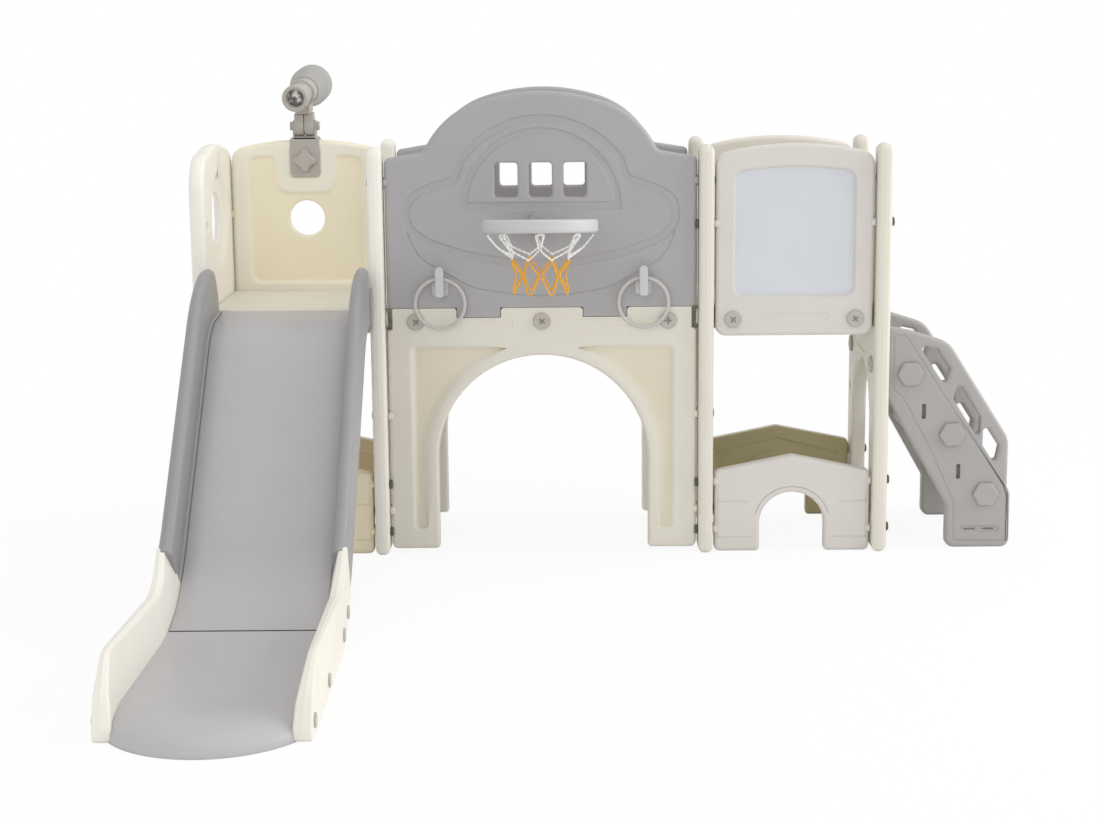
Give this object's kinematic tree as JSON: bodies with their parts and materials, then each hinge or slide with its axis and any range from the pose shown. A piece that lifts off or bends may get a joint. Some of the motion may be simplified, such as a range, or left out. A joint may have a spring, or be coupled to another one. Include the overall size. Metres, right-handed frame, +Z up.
{
  "type": "toddler climbing gym",
  "caption": "Indoor climbing gym for toddlers: two towers joined by a domed bridge, with a slide, stairs, a ball hoop, toss rings, a drawing board and a swivelling toy telescope.",
  "frame": {"origin": "middle of the whole part's box, on the floor", "axes": "+X along the bridge towards the stairs, -Y towards the slide's foot, +Z up"},
  "size_m": [1.956, 1.9376, 1.1669],
  "materials": {
    "cream": "fine satin moulded plastic",
    "dome_grey": "fine satin moulded plastic",
    "slide_grey": "smooth satin moulded plastic",
    "stair_grey": "fine satin moulded plastic",
    "trim_grey": "satin plastic",
    "pale_grey": "satin plastic",
    "ring_grey": "satin plastic",
    "board_white": "glossy drawing surface",
    "cord_white": "braided cord",
    "cord_orange": "braided cord",
    "bolt_dark": "dark coated steel",
    "lens": "tinted clear plastic"
  },
  "bodies": {
    "gym": {"side_wall_left": "cream", "side_frame_slide": "cream", "side_frame_board": "cream", "side_frame_stair": "cream", "platform_left": "cream", "platform_bridge": "cream", "platform_right": "cream", "arch_front": "cream", "arch_rear": "cream", "dome_front": "dome_grey", "dome_rear": "dome_grey", "low_wall_left_front": "cream", "low_wall_left_rear": "cream", "low_wall_right_front": "cream", "low_wall_right_rear": "cream", "lookout_panel": "cream", "board_frame": "cream", "white_board": "board_white", "rear_panel_right": "cream", "slide_trough": "slide_grey", "slide_rail_left": "slide_grey", "slide_rail_right": "slide_grey", "slide_nose": "slide_grey", "slide_guard_left": "cream", "slide_guard_right": "cream", "guard_screws": "trim_grey", "stair_side_front": "stair_grey", "stair_side_rear": "stair_grey", "stair_tread_low": "stair_grey", "stair_tread_middle": "stair_grey", "stair_tread_top": "stair_grey", "stair_caps": "stair_grey", "stair_screws": "trim_grey", "hoop_bracket": "dome_grey", "hoop_rim": "pale_grey", "net_upper": "cord_white", "net_lower": "cord_orange", "hook_left": "pale_grey", "hook_right": "pale_grey", "telescope_clip": "trim_grey", "tilt_pin": "trim_grey", "panel_screws_front": "trim_grey", "panel_screws_rear": "trim_grey", "corner_screws": "trim_grey", "panel_bolts": "bolt_dark"},
    "knuckle": {"tilt_knuckle": "trim_grey"},
    "telescope": {"telescope_tube": "trim_grey", "eyepiece_cup": "trim_grey", "eyepiece_lens": "lens", "objective_hood": "trim_grey", "objective_lens": "lens"},
    "knob": {"star_knob": "trim_grey"},
    "left_ring": {"ring_left": "ring_grey"},
    "right_ring": {"ring_right": "ring_grey"}
  },
  "joints": [
    {"name": "telescope_tilt", "type": "hinge", "parent": "gym", "child": "knuckle", "pos_m": [-0.751, 0.85023, 1.015], "axis": [1, 0, 0], "range_deg": [-20, 30]},
    {"name": "telescope_pan", "type": "hinge", "parent": "knuckle", "child": "telescope", "pos_m": [-0.751, 0.85023, 1.015], "axis": [0, -0.1392, 0.9903], "continuous": true},
    {"name": "knob_turn", "type": "hinge", "parent": "gym", "child": "knob", "pos_m": [-0.751, 0.83223, 0.9293], "axis": [0, 1, 0], "continuous": true},
    {"name": "left_ring_swing", "type": "hinge", "parent": "gym", "child": "left_ring", "pos_m": [-0.393, 0.44173, 0.66], "axis": [0, 1, 0], "range_deg": [-35, 35]},
    {"name": "right_ring_swing", "type": "hinge", "parent": "gym", "child": "right_ring", "pos_m": [0.089, 0.44173, 0.66], "axis": [0, 1, 0], "range_deg": [-35, 35]}
  ]
}
